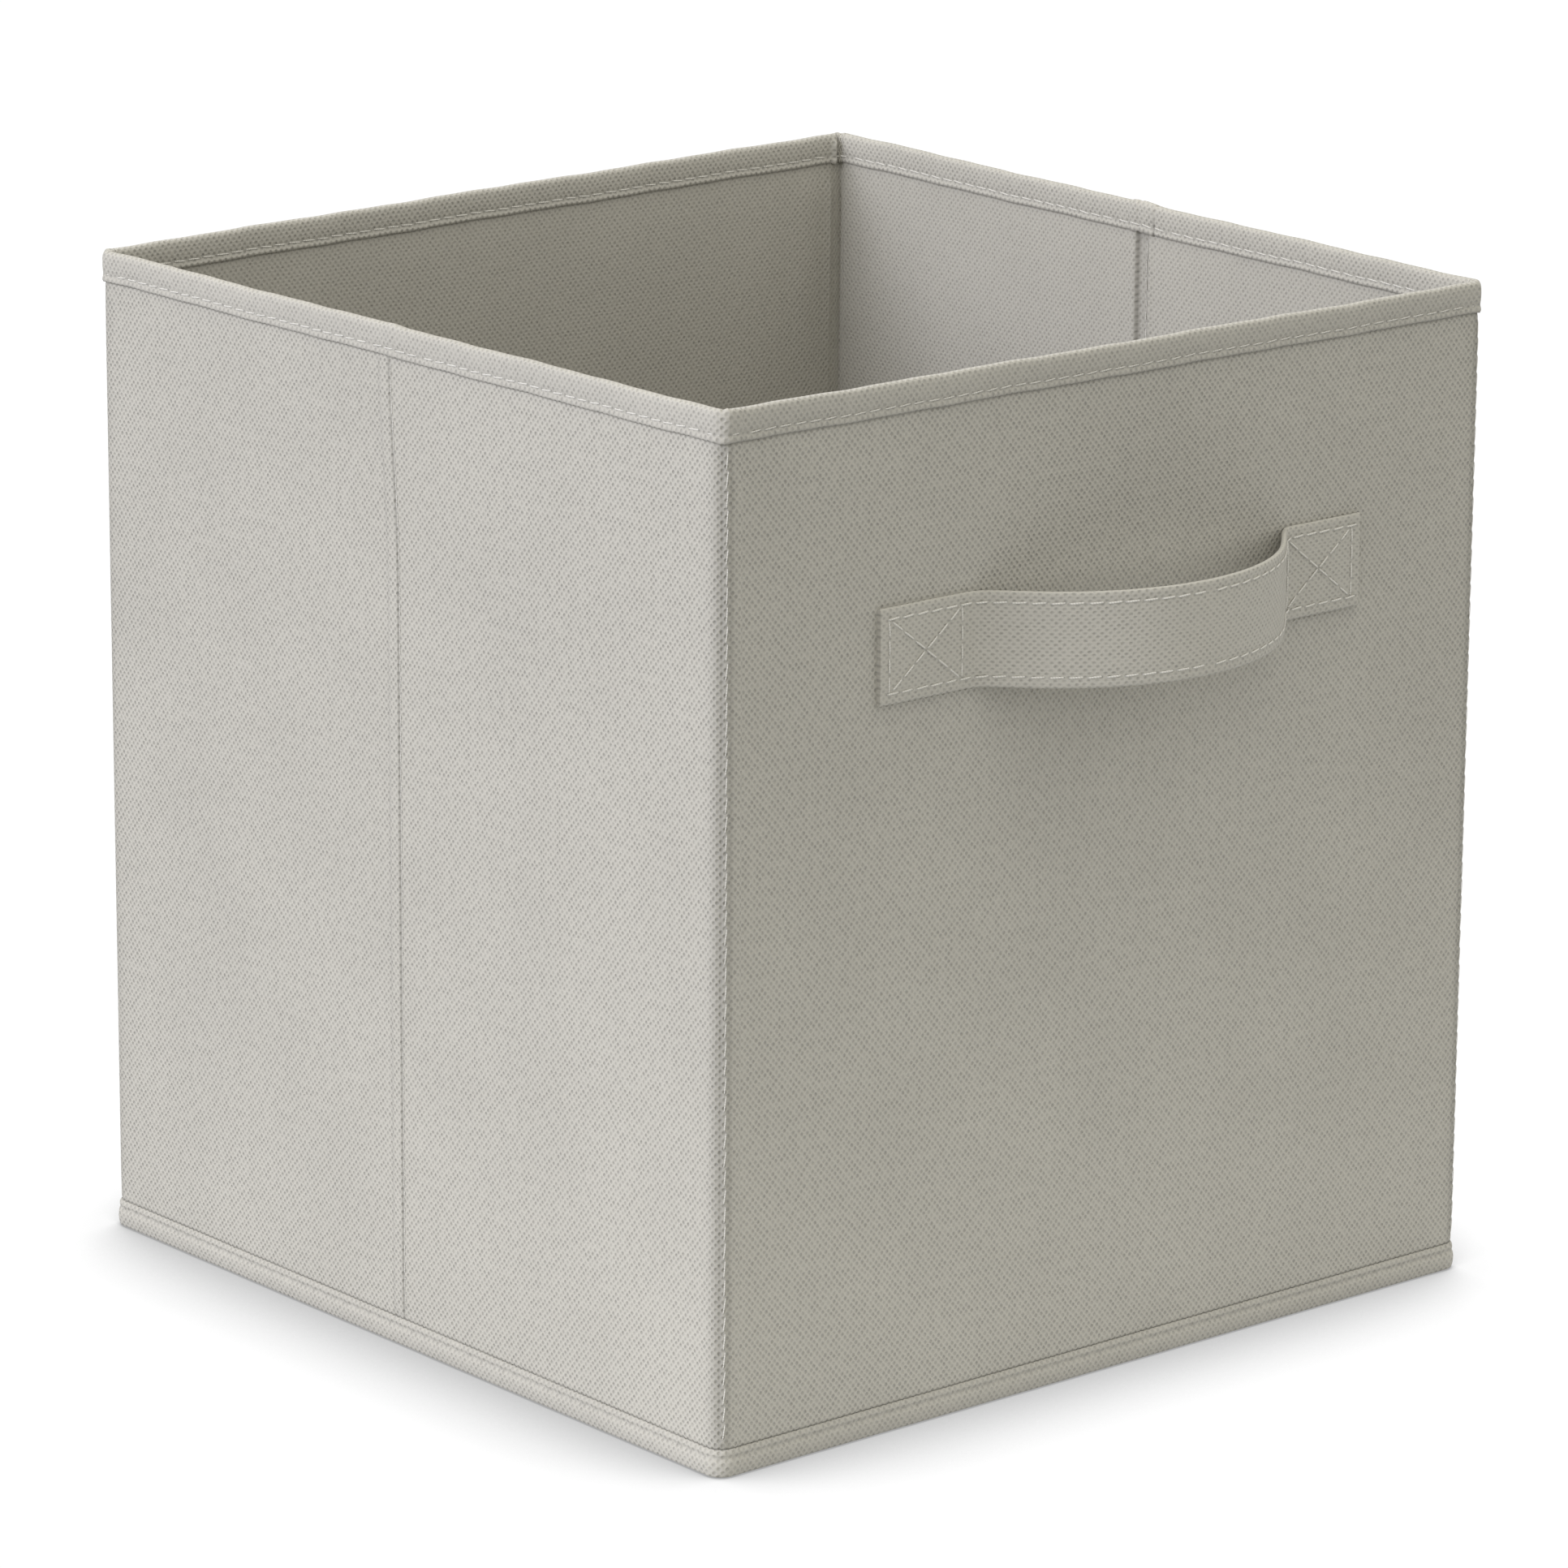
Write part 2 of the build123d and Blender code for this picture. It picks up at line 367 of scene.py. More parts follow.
def hem_relief(t, z):
    """Puckers in the bottom tape, below its turned seam."""
    phase = 2 * np.pi * t / STITCH_PITCH
    pucker = 0.12 + 0.10 * np.cos(phase) + 0.05 * np.cos(2.3 * phase + 1)
    ridge = bell(z - HEM_TOP + 1.3 * MM, 0.8 * MM) * pucker
    groove = -0.14 * bell(z - HEM_TOP + 2.2 * MM, 0.5 * MM) * (1 + np.cos(phase + 2.4))
    swell = 0.16 * slow_waves(4 * t, z, 1.9) * bell(z - 0.45 * HEM_TOP, 0.3 * HEM_TOP)
    return (ridge + groove + swell) * MM


# ---- mesh making


def make_object(name, points, faces, uvs, material, sharp_loops=(), painted_shade=None):
    """A mesh object with smooth faces, its cloth lengths in metres as UVs, and hard cut edges."""
    mesh = bpy.data.meshes.new(name)
    mesh.from_pydata([tuple(p) for p in points], [], faces)
    mesh.materials.append(material)
    mesh.polygons.foreach_set("use_smooth", [True] * len(faces))
    layer = mesh.uv_layers.new(name="cloth")
    corner_points = np.zeros(len(mesh.loops), dtype=np.int32)
    mesh.loops.foreach_get("vertex_index", corner_points)
    layer.data.foreach_set("uv", np.asarray(uvs, float)[corner_points].ravel())
    # Painted shade per point, from 0 to 1, by which the cloth and thread materials darken their colour
    if painted_shade is not None:
        shade = mesh.attributes.new("painted_shade", "FLOAT", "POINT")
        shade.data.foreach_set("value", np.asarray(painted_shade, float).ravel())
    if len(sharp_loops):
        on_cut = np.zeros(len(points), dtype=np.int32)
        on_cut[np.asarray(sharp_loops)] = 1
        ends = np.zeros(len(mesh.edges) * 2, dtype=np.int32)
        mesh.edges.foreach_get("vertices", ends)
        ends = ends.reshape(-1, 2)
        sharp = mesh.attributes.new("sharp_edge", "BOOLEAN", "EDGE")
        sharp.data.foreach_set("value", (on_cut[ends].min(axis=1) > 0))
    mesh.validate()
    obj = bpy.data.objects.new(name, mesh)
    bpy.context.scene.collection.objects.link(obj)
    return obj


def closed_sheet(name, face, back, uv, material, painted_shade=None):
    """A thin closed sheet between two grids of points: its face, and its back below it."""
    rows, columns = face.shape[:2]
    count = rows * columns
    points = np.concatenate([face.reshape(-1, 3), back.reshape(-1, 3)])
    index = np.arange(count).reshape(rows, columns)
    quads = np.stack([index[:-1, :-1], index[1:, :-1], index[1:, 1:], index[:-1, 1:]], -1).reshape(-1, 4)
    border = np.concatenate([index[0, :], index[1:, -1], index[-1, -2::-1], index[-2:0:-1, 0]])
    following = np.roll(border, -1)
    rim = np.stack([border, following, following + count, border + count], -1)
    faces = np.concatenate([quads, quads[:, ::-1] + count, rim]).tolist()
    uvs = np.concatenate([uv.reshape(-1, 2)] * 2)
    if painted_shade is not None:
        painted_shade = np.concatenate([painted_shade.ravel()] * 2)
    return make_object(name, points, faces, uvs, material, np.concatenate([border, border + count]), painted_shade)


def profile_normals(profile):
    """Directions square to a profile of (out, z) points, on the side that shows."""
    step = np.gradient(profile, axis=0)
    step = step / np.linalg.norm(step, axis=1, keepdims=True)
    return np.stack([step[:, 1], -step[:, 0]], axis=1)


def swept(name, ts, profile, relief, painted_shade, material, thickness=CLOTH, inset=0.0):
    """A sheet whose (out, z) profile runs round the plan, raised by relief(t, z) on its shown side."""
    normals = profile_normals(profile)
    lengths = path_lengths(profile)
    t_grid = np.broadcast_to(ts[:, None], (len(ts), len(profile)))
    z_grid = np.broadcast_to(profile[:, 1], t_grid.shape)
    height = relief(t_grid, z_grid) - inset

    def face_at(depth):
        rise = height - depth
        return place(t_grid, profile[:, 0] + rise * normals[:, 0], profile[:, 1] + rise * normals[:, 1])

    uv = np.stack([t_grid, np.broadcast_to(lengths, t_grid.shape)], -1)
    # The second relief function gives the painted shade at each point
    obj = closed_sheet(name, face_at(0), face_at(thickness), uv, material, painted_shade(t_grid, z_grid))
    obj["flat"] = (float(ts[-1] - ts[0]), float(lengths[-1]))
    return obj


def path_lengths(line):
    """Length along a line of points, at each of them."""
    return np.concatenate([[0], np.cumsum(np.linalg.norm(np.diff(line, axis=0), axis=1))])


def spaced(start, end, step):
    """Evenly spaced values from start to end, no further than a step apart."""
    return np.linspace(start, end, max(2, math.ceil((end - start) / step) + 1))


# ---- profiles, as (out, z)


FINE_HALF = 1.5 * MM
FINE_STEP = 0.25 * MM


def straight_profile(out, low, high, step, fine=()):
    """An upright line, from low to high, with close points round each of the fine heights."""
    bottom, top = sorted((low, high))
    zs = spaced(bottom, top, step)
    for middle in fine:
        kept = zs[np.abs(zs - middle) > FINE_HALF + 0.1 * MM]
        zs = np.concatenate([kept, spaced(middle - FINE_HALF, middle + FINE_HALF, FINE_STEP)])
    zs = np.sort(zs[(zs >= bottom) & (zs <= top)])
    if low > high:
        zs = zs[::-1]
    return np.stack([np.full_like(zs, out), zs], axis=1)


def smooth_profile(points, step=0.55 * MM):
    """A rounded line through a few (out, z) points given in millimetres."""
    points = np.array(points, float) * MM
    dense = []
    padded = np.concatenate([[2 * points[0] - points[1]], points, [2 * points[-1] - points[-2]]])
    for i in range(1, len(padded) - 2):
        p0, p1, p2, p3 = padded[i - 1:i + 3]
        count = max(1, math.ceil(np.linalg.norm(p2 - p1) / step))
        for s in np.arange(count)[:, None] / count:
            dense.append(0.5 * (2 * p1 + (p2 - p0) * s + (2 * p0 - 5 * p1 + 4 * p2 - p3) * s**2
                                + (3 * p1 - p0 - 3 * p2 + p3) * s**3)[None, :])
    dense.append(points[-1:])
    return np.concatenate([d.reshape(-1, 2) for d in dense])


# The same sizes in millimetres, for the profiles
RIM_MM, FOOT_MM, TAPE_MM, WALL_MM, ROW_MM = (v / MM for v in (RIM, RIM_FOOT, TAPE, WALL, RIM_STITCH_Z))
HEM_MM, HEM_OUT_MM = HEM_TOP / MM, HEM_OUT / MM

# Round the rim: up the outer leg, over the top and down the inner leg, which mirrors the outer one
outer_leg = [
    (0.06, FOOT_MM + 0.05), (TAPE_MM, FOOT_MM), (TAPE_MM + 0.12, FOOT_MM + 0.5), (TAPE_MM, ROW_MM),
    (TAPE_MM, RIM_MM - 4), (TAPE_MM, RIM_MM - 1.3), (TAPE_MM - 0.3, RIM_MM - 0.32), (-0.4, RIM_MM),
]
rim_profile = smooth_profile(outer_leg + [(-WALL_MM - out, z) for out, z in reversed(outer_leg)])

# Under the wall: down inside, across its foot, up outside to the turned seam
hem_profile = smooth_profile((
    (-WALL_MM - 0.05, HEM_MM), (-WALL_MM - TAPE_MM, HEM_MM - 0.4), (-WALL_MM - TAPE_MM, 1.4),
    (-WALL_MM - 0.1, 0.35), (-WALL_MM / 2, 0.14), (0.1, 0.2), (0.55, 0.5), (HEM_OUT_MM - 0.1, 1.5),
    (HEM_OUT_MM, 3.0), (HEM_OUT_MM - 0.12, 4.4), (0.42, HEM_MM - 2.3), (0.52, HEM_MM - 1.5),
    (0.40, HEM_MM - 0.7), (0.0, HEM_MM - 0.15), (-0.45, HEM_MM - 0.2),
))
COVER_TOP = RIM_FOOT + 4 * MM
OVER_HEM = HEM_TOP + 0.5 * MM
PANEL_STEP = 3.6 * MM
cover_profile = straight_profile(0, HEM_TOP, COVER_TOP, PANEL_STEP, (OVER_HEM, RIM_FOOT))
fine_cover_profile = straight_profile(0, HEM_TOP, COVER_TOP, 1.25 * MM, (OVER_HEM, RIM_FOOT))
lining_profile = straight_profile(-WALL, COVER_TOP, WALL_FOOT, PANEL_STEP, (RIM_FOOT,))
fine_lining_profile = straight_profile(-WALL, COVER_TOP, WALL_FOOT, 1.6 * MM, (RIM_FOOT,))


# ---- node materials


# A Mix node's sockets share their names, so they are picked by place
MIX_FACTOR, MIX_FLOAT_A, MIX_FLOAT_B, MIX_COLOUR_A, MIX_COLOUR_B = 0, 2, 3, 6, 7
MIX_FLOAT_RESULT, MIX_COLOUR_RESULT = 0, 2


class Nodes:
    """Short ways to add and join shader nodes in one material."""

    def __init__(self, name):
        self.material = bpy.data.materials.new(name)
        self.material.use_nodes = True
        self.tree = self.material.node_tree
        self.tree.nodes.clear()

    def add(self, kind, inputs=None, **settings):
        """One node, with settings on it and values or links on its inputs."""
        made = self.tree.nodes.new(kind)
        for key, value in settings.items():
            setattr(made, key, value)
        for key, value in (inputs or {}).items():
            if isinstance(value, bpy.types.NodeSocket):
                self.tree.links.new(value, made.inputs[key])
            else:
                made.inputs[key].default_value = value
        return made

    def math(self, operation, a, b):
        """One sum on two values."""
        return self.add("ShaderNodeMath", {0: a, 1: b}, operation=operation).outputs[0]

    def product(self, value, *factors):
        """A value multiplied by all the others."""
        for factor in factors:
            value = self.math("MULTIPLY", value, factor)
        return value

    def vector(self, operation, a, b=(0, 0, 0)):
        """One sum on vectors."""
        made = self.add("ShaderNodeVectorMath", {0: a, 1: b}, operation=operation)
        return made.outputs["Value" if operation == "LENGTH" else "Vector"]

    def noise(self, vector, scale, detail, roughness=0.5, output="Fac"):
        """Noise at this many waves a metre."""
        inputs = {"Vector": vector, "Scale": scale, "Detail": detail, "Roughness": roughness}
        return self.add("ShaderNodeTexNoise", inputs).outputs[output]

    def remap(self, value, low, high, to_low, to_high, smooth=False):
        """A value carried from one range to another, in a straight line or smoothly."""
        kind = "SMOOTHSTEP" if smooth else "LINEAR"
        inputs = {"Value": value, "From Min": low, "From Max": high, "To Min": to_low, "To Max": to_high}
        return self.add("ShaderNodeMapRange", inputs, interpolation_type=kind).outputs["Result"]

    def shade(self, colour, bump_height, roughness, sheen=0.0, specular=0.3):
        """Finish with a Principled shader, its bump given as a height in metres."""
        bump = self.add("ShaderNodeBump", {"Height": bump_height, "Distance": 1.0, "Strength": 1.0})
        shader = self.add("ShaderNodeBsdfPrincipled", {
            "Base Color": colour, "Roughness": roughness, "Normal": bump.outputs["Normal"],
            "Sheen Weight": sheen, "Sheen Roughness": 0.5, "Specular IOR Level": specular})
        output = self.add("ShaderNodeOutputMaterial", {"Surface": shader.outputs["BSDF"]})
        output.is_active_output = True
        return self.material

    def tint(self, colour, factor):
        """A colour made darker by a factor that varies over the surface."""
        grey = self.add("ShaderNodeCombineColor", {"Red": factor, "Green": factor, "Blue": factor})
        inputs = {MIX_FACTOR: 1.0, MIX_COLOUR_A: (*colour, 1.0), MIX_COLOUR_B: grey.outputs["Color"]}
        mixed = self.add("ShaderNodeMix", inputs, data_type="RGBA", blend_type="MULTIPLY")
        return mixed.outputs[MIX_COLOUR_RESULT]


# Embossed pits: rows of ovals, their pitch across and up the cloth and their half sizes
PIT_PITCH = (1.905 * MM, 2.16 * MM)
PIT_HALF = (0.43 * MM, 0.51 * MM)
STRAP_PIT_HALF = (0.50 * MM, 0.38 * MM)
PIT_DRIFT = 0.30
FIBRE_RISE = 0.09 * MM
# The share of its colour the cloth keeps under full painted shade in crevices
CREVICE_SHADE = 0.55


def pits(n, uv, turned):
    """Staggered rows of small oval pits, from 1 in a pit's middle to 0 between pits."""
    pitch = PIT_PITCH[::-1] if turned else PIT_PITCH
    half = STRAP_PIT_HALF if turned else PIT_HALF
    cells = n.vector("MULTIPLY", uv, (1 / pitch[0], 1 / pitch[1], 0))
    drift = n.vector("SUBTRACT", n.noise(uv, 260.0, 1.0, output="Color"), (0.5, 0.5, 0.5))
    cells = n.vector("ADD", cells, n.vector("MULTIPLY", drift, (PIT_DRIFT, PIT_DRIFT, 0)))
    stretch = (pitch[0] / half[0], pitch[1] / half[1], 0)
    reach = []
    for shift in (0.0, 0.5):
        local = n.vector("FRACTION", n.vector("ADD", cells, (shift, shift, 0)))
        local = n.vector("MULTIPLY", n.vector("SUBTRACT", local, (0.5, 0.5, 0)), stretch)
        reach.append(n.vector("LENGTH", local))
    nearest = n.math("MINIMUM", reach[0], reach[1])
    pressed = n.remap(n.noise(uv, 420.0, 1.0), 0.3, 0.7, 0.62, 1.12, smooth=True)
    return n.product(n.remap(nearest, 0.15, 1.5, 1.0, 0.0, smooth=True), pressed)


def cloth_material(name, colour, depth=0.33 * MM, pit_shade=0.74, turned=False):
    """Embossed non-woven cloth: pits pressed into felted fibres, darker in the pits, with painted shade in
    crevices.
    """
    n = Nodes(name)
    uv = n.add("ShaderNodeUVMap", uv_map="cloth").outputs["UV"]
    pit = pits(n, uv, turned)
    fibre = n.noise(n.vector("MULTIPLY", uv, (1.0, 1.7, 1.0)), 2600.0, 3.0, 0.65)
    patches = n.noise(uv, 22.0, 3.0, 0.6)
    # Painted shade in crevices, read from the mesh, darkens the colour below
    painted_shade = n.add("ShaderNodeAttribute", attribute_name="painted_shade").outputs["Fac"]
    shade = n.product(n.math("SUBTRACT", 1.0, n.product(pit, 1 - pit_shade)),
                      n.remap(fibre, 0.3, 0.7, 0.93, 1.07), n.remap(patches, 0.3, 0.7, 0.965, 1.03),
                      n.remap(painted_shade, 0.0, 1.0, 1.0, CREVICE_SHADE))
    height = n.math("SUBTRACT", n.product(fibre, FIBRE_RISE), n.product(pit, depth))
    return n.shade(n.tint(colour, shade), height, roughness=0.82, sheen=0.12)


def thread_material():
    """Pale two-ply sewing thread, its twist running along the stitch, with painted shade at its ends."""
    n = Nodes("sewing_thread")
    uv = n.add("ShaderNodeUVMap", uv_map="cloth").outputs["UV"]
    inputs = {"Vector": n.vector("MULTIPLY", uv, (1.0, 0.45, 0)), "Scale": 900.0, "Distortion": 0.4}
    twist = n.add("ShaderNodeTexWave", inputs, bands_direction="DIAGONAL").outputs["Fac"]
    # Painted shade at the stitch's ends, where they dive into the cloth
    ends = n.add("ShaderNodeAttribute", attribute_name="painted_shade").outputs["Fac"]
    shade = n.product(n.remap(twist, 0.0, 1.0, 0.8, 1.0, smooth=True), n.remap(ends, 0.0, 1.0, 1.0, 0.25))
    colour = n.tint((0.69, 0.675, 0.615), shade)
    return n.shade(colour, n.product(twist, 0.05 * MM), roughness=0.55, sheen=0.2)


def board_material():
    """Grey-brown chipboard with flecks and short fibres."""
    n = Nodes("chipboard")
    where = n.add("ShaderNodeTexCoord").outputs["Object"]
    fleck = n.noise(where, 900.0, 4.0, 0.7)
    fibre = n.noise(n.vector("MULTIPLY", where, (1.0, 1.0, 6.0)), 240.0, 3.0, 0.6)
    shade = n.product(n.remap(fleck, 0.3, 0.7, 0.75, 1.15, smooth=True),
                      n.remap(fibre, 0.3, 0.7, 0.88, 1.1, smooth=True))
    return n.shade(n.tint((0.34, 0.29, 0.22), shade), n.product(fleck, 0.1 * MM), roughness=0.9)


COVER = cloth_material("cover_cloth", (0.455, 0.440, 0.385))
LINING = cloth_material("lining_cloth", (0.422, 0.407, 0.356), depth=0.18 * MM, pit_shade=0.8)
BINDING = cloth_material("binding_cloth", (0.446, 0.431, 0.379), depth=0.26 * MM, pit_shade=0.79)
STRAP = cloth_material("strap_cloth", (0.460, 0.445, 0.391), depth=0.20 * MM, pit_shade=0.74, turned=True)
THREAD_MATERIAL = thread_material()
CHIPBOARD = board_material()


# ---- cloth of the walls


def span(wall, half=None):
    """Where a wall section starts and ends round the plan: a whole wall, or its first or second half."""
    start = at(wall, -FLATS[wall] / 2) + CORNER_REACH
    end = at(wall, FLATS[wall] / 2) - CORNER_REACH
    if half == 1:
        end = at(wall, -CREASE_REACH)
    elif half == 2:
        start = at(wall, CREASE_REACH)
    return start, end


# Wall sections: node name, body, where they start and end round the plan
PANELS = (
    ("front", "front_wall", *span(FRONT)),
    ("right_front", "right_front_half", *span(RIGHT, 1)),
    ("right_rear", "right_rear_half", *span(RIGHT, 2)),
    ("back", "back_wall", *span(BACK)),
    ("left_rear", "left_rear_half", *span(LEFT, 1)),
    ("left_front", "left_front_half", *span(LEFT, 2)),
)


def corner_fold(name, wall, bodies, opened=False):
    """The fold at the corner that follows a wall."""
    return {"name": name, "bodies": bodies, "mid": corner_mid(wall), "reach": ARC / 2 + CORNER_REACH,
            "wall": wall, "open": opened}


def crease_fold(side, wall, rear, bodies):
    """The fold in the middle of a side wall, and which way round the plan is the rear of the bin."""
    return {"name": f"{side}_crease", "bodies": bodies, "mid": at(wall, 0), "reach": CREASE_REACH,
            "seam": f"{side}_crease_seam", "rear": rear, "open": False}


# The simulated walls can't form a closed loop, so one corner is open
FOLDS = (
    corner_fold("front_right_corner", FRONT, ("front_wall", "right_front_half")),
    crease_fold("right", RIGHT, 1, ("right_front_half", "right_rear_half")),
    corner_fold("rear_right_corner", RIGHT, ("right_rear_half", "back_wall"), opened=True),
    corner_fold("rear_left_corner", BACK, ("back_wall", "left_rear_half")),
    crease_fold("left", LEFT, -1, ("left_rear_half", "left_front_half")),
    corner_fold("front_left_corner", LEFT, ("left_front_half", "front_wall")),
)

# Half the width over which cloth bends at a corner, for each layer, and at a crease, which folds shut
COVER_ZONE = 3.2 * MM
LINING_ZONE = 1.5 * MM
TAPE_ZONE = 2.2 * MM

# At the open corner a thinner allowance lies this far under the cloth
NESTED = 0.42 * MM
ALLOWANCE_SHARE = 0.8

# Across a crease: where the bend's close stations end, and the lapped cloth's
BEND_HALF = 1.8 * MM
LAP_HALF = 6 * MM


def move_with_fold(obj, fold):
    """At the open corner a piece rides on the fold's second body; elsewhere its place is baked into its
    mesh.
    """
    first, second = fold["bodies"]
    if fold["open"]:
        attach(obj, second)
        return
    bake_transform(obj)


def declare_cloth(obj, nodes):
    """Drop the size a cloth piece was cut to, and hide the CAD parts it stands for."""
    flat = tuple(obj.pop("flat"))
    if nodes:
        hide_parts(*nodes)


def rim_relief(t, z):
    """The tape's relief on both legs: the profile's first half is the outer one."""
    outer = (np.arange(t.shape[1]) < t.shape[1] / 2)[None, :]
    return np.where(outer, tape_relief(t, z, outer=True), tape_relief(t, z, outer=False))


Layer = namedtuple("Layer", "name node slot material relief profile fold_profile step zone thickness")
# Each layer's relief is a pair: its height over the board, and its painted shade
LAYERS = (
    Layer("cover", "outer_cover", "outer_fabric", COVER, (cover_relief, cover_painted_shade),
          cover_profile, fine_cover_profile, 4.5 * MM, COVER_ZONE, CLOTH),
    Layer("lining", "lining", "lining_fabric", LINING, (lining_relief, lining_painted_shade),
          lining_profile, fine_lining_profile, 4.5 * MM, LINING_ZONE, CLOTH),
    Layer("rim_tape", "top_binding", "binding_fabric", BINDING, (rim_relief, tape_painted_shade),
          rim_profile, rim_profile, 1.2 * MM, TAPE_ZONE, 0.35 * MM),
)


def make_panels():
    """The cloth of the six wall sections."""
    for layer in LAYERS:
        for section, body, start, end in PANELS:
            obj = swept(f"{section}_{layer.name}_cloth", spaced(start, end, layer.step), layer.profile,
                        *layer.relief, layer.material, layer.thickness)
            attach(obj, body)
            declare_cloth(obj, [f"{section}_{layer.node}"])


def fold_stations(fold):
    """Stations across a fold, closest together where the cloth bends or is lapped."""
    reach = fold["reach"]
    if "seam" not in fold:
        return fold["mid"] + spaced(-reach, reach, 0.5 * MM)
    near = spaced(-BEND_HALF, BEND_HALF, 0.3 * MM)
    side = np.concatenate([spaced(-reach, -LAP_HALF, 1 * MM)[:-1],
                           spaced(-LAP_HALF, -BEND_HALF, 0.45 * MM)[:-1]])
    return fold["mid"] + np.concatenate([side, near, -side[::-1]])


def make_folds():
    """The cloth strips round the corners and over the side creases."""
    for layer in LAYERS:
        for fold in FOLDS:
            name = f"{fold['name']}_{layer.name}"
            cut = (fold_stations(fold), layer.fold_profile, *layer.relief, layer.material)
            if fold["open"]:
                under = swept(f"{name}_allowance", *cut, layer.thickness * ALLOWANCE_SHARE, inset=NESTED)
                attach(under, fold["bodies"][0])
                declare_cloth(under, [])
            obj = swept(f"{name}_cloth", *cut, layer.thickness)
            move_with_fold(obj, fold)
            nodes = [fold["seam"]] if layer.name == "cover" and "seam" in fold else []
            declare_cloth(obj, nodes)


def make_hems():
    """The bottom tape: a piece on each wall section and one over each fold."""
    sections = [(*panel, [f"{panel[0]}_bottom_binding"]) for panel in PANELS]
    for fold in FOLDS:
        whole_walls = [body for body in fold["bodies"] if body in ("back_wall", "front_wall")]
        body = whole_walls[0] if whole_walls else fold["bodies"][0]
        sections.append((fold["name"], body, fold["mid"] - fold["reach"], fold["mid"] + fold["reach"], []))
    for name, body, start, end, nodes in sections:
        obj = swept(f"{name}_hem_tape_cloth", spaced(start, end, 1.2 * MM), hem_profile,
                    hem_relief, hem_painted_shade, BINDING)
        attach(obj, body)
        declare_cloth(obj, nodes)
        if body != "back_wall":
            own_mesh(obj)


# ---- stitches


class ThreadWork:
    """Collects stitches, each a short tapered length of thread whose ends dive into the cloth."""

    RINGS = np.array([0, 0.07, 0.14, 0.3, 0.5, 0.7, 0.86, 0.93, 1])
    SIDES = 6

    def __init__(self):
        self.points, self.faces, self.uvs, self.shade = [], [], [], []

    def stitch(self, start, end, normal, thread):
        """One stitch from start to end on a surface with this normal."""
        length = np.linalg.norm(end - start)
        along = (end - start) / length
        side = np.cross(along, normal)
        side = side / np.linalg.norm(side)
        up = np.cross(side, along)
        first = len(self.points)
        for s in self.RINGS:
            past = abs(2 * s - 1)
            radius = thread * (1.0 - 0.3 * past ** 3)
            centre = start + (end - start) * s + up * (thread * (0.8 - 1.5 * past ** 6))
            for k in range(self.SIDES):
                turn = 2 * math.pi * k / self.SIDES
                self.points.append(centre + (side * math.cos(turn) + up * math.sin(turn) * 0.8) * radius)
                self.uvs.append((length * s, radius * turn))
                # Painted shade at each end of the stitch, where it dives into the cloth
                self.shade.append(float(np.clip((past - 0.82) / 0.14, 0, 1)))
        rings = np.arange(first, len(self.points)).reshape(-1, self.SIDES)
        following = np.roll(rings, -1, axis=1)
        quads = np.stack([rings[:-1], following[:-1], following[1:], rings[1:]], -1)
        self.faces += [*quads.reshape(-1, 4).tolist(), rings[0, ::-1].tolist(), rings[-1].tolist()]

    def row(self, surface, first, last, length=STITCH_LENGTH, skew=0.4 * MM, thread=THREAD):
        """A straight row of stitches between two places on surface(u, v), a point and its normal."""
        whole = math.hypot(last[0] - first[0], last[1] - first[1])
        du, dv = (last[0] - first[0]) / whole, (last[1] - first[1]) / whole
        count = max(1, int(whole / STITCH_PITCH))
        spare = (whole - count * STITCH_PITCH) / 2
        for i in range(count):
            middle = spare + (i + 0.5) * STITCH_PITCH + random.uniform(-0.15, 0.15) * MM
            half = length * random.uniform(0.93, 1.05) / 2
            tilt = skew * random.uniform(0.4, 1.0) / 2
            (start, normal), (end, _) = (
                surface(first[0] + du * d - dv * shift, first[1] + dv * d + du * shift)
                for d, shift in ((middle - half, -tilt), (middle + half, tilt)))
            self.stitch(start, end, normal, thread)

    def finish(self, name):
        """The collected stitches as one piece."""
        obj = make_object(name, self.points, self.faces, self.uvs, THREAD_MATERIAL, painted_shade=self.shade)
        return obj


def on_cloth(u, v, relief, level=0, side=1, upright=False):
    """A point and the normal there on a wall's cloth, side 1 outside and -1 inside.

    The place is given as distance round the plan and height, or the other way round for an upright row.
    """
    t, z = (v, u) if upright else (u, v)
    height = float(relief(np.array([[t]]), np.array([[z]]))[0, 0])
    point = place(np.array(t), np.array(level + side * height), np.array(z))
    _, outward = plan(t)
    return point, np.array([*(outward * side), 0.0])


def make_rim_stitches():
    """The row of stitches that holds the rim tape, on both of its sides."""
    pieces = [(section, body, None, start, end) for section, body, start, end in PANELS]
    pieces += [(f["name"], None, f, f["mid"] - f["reach"], f["mid"] + f["reach"]) for f in FOLDS]
    for name, body, fold, start, end in pieces:
        work = ThreadWork()
        for side, level in ((1, TAPE), (-1, -WALL - TAPE)):
            leg = partial(on_cloth, relief=partial(tape_relief, outer=side == 1), level=level, side=side)
            work.row(leg, (start, RIM_STITCH_Z), (end, RIM_STITCH_Z))
        obj = work.finish(f"{name}_rim_stitches")
        if fold:
            move_with_fold(obj, fold)
        else:
            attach(obj, body)


# The stitches of a side seam stand behind its edge outside, and to the front of the crease inside
LAP_STITCH_SHIFT = 0.7 * MM
CREASE_STITCH_SHIFT = 0.9 * MM


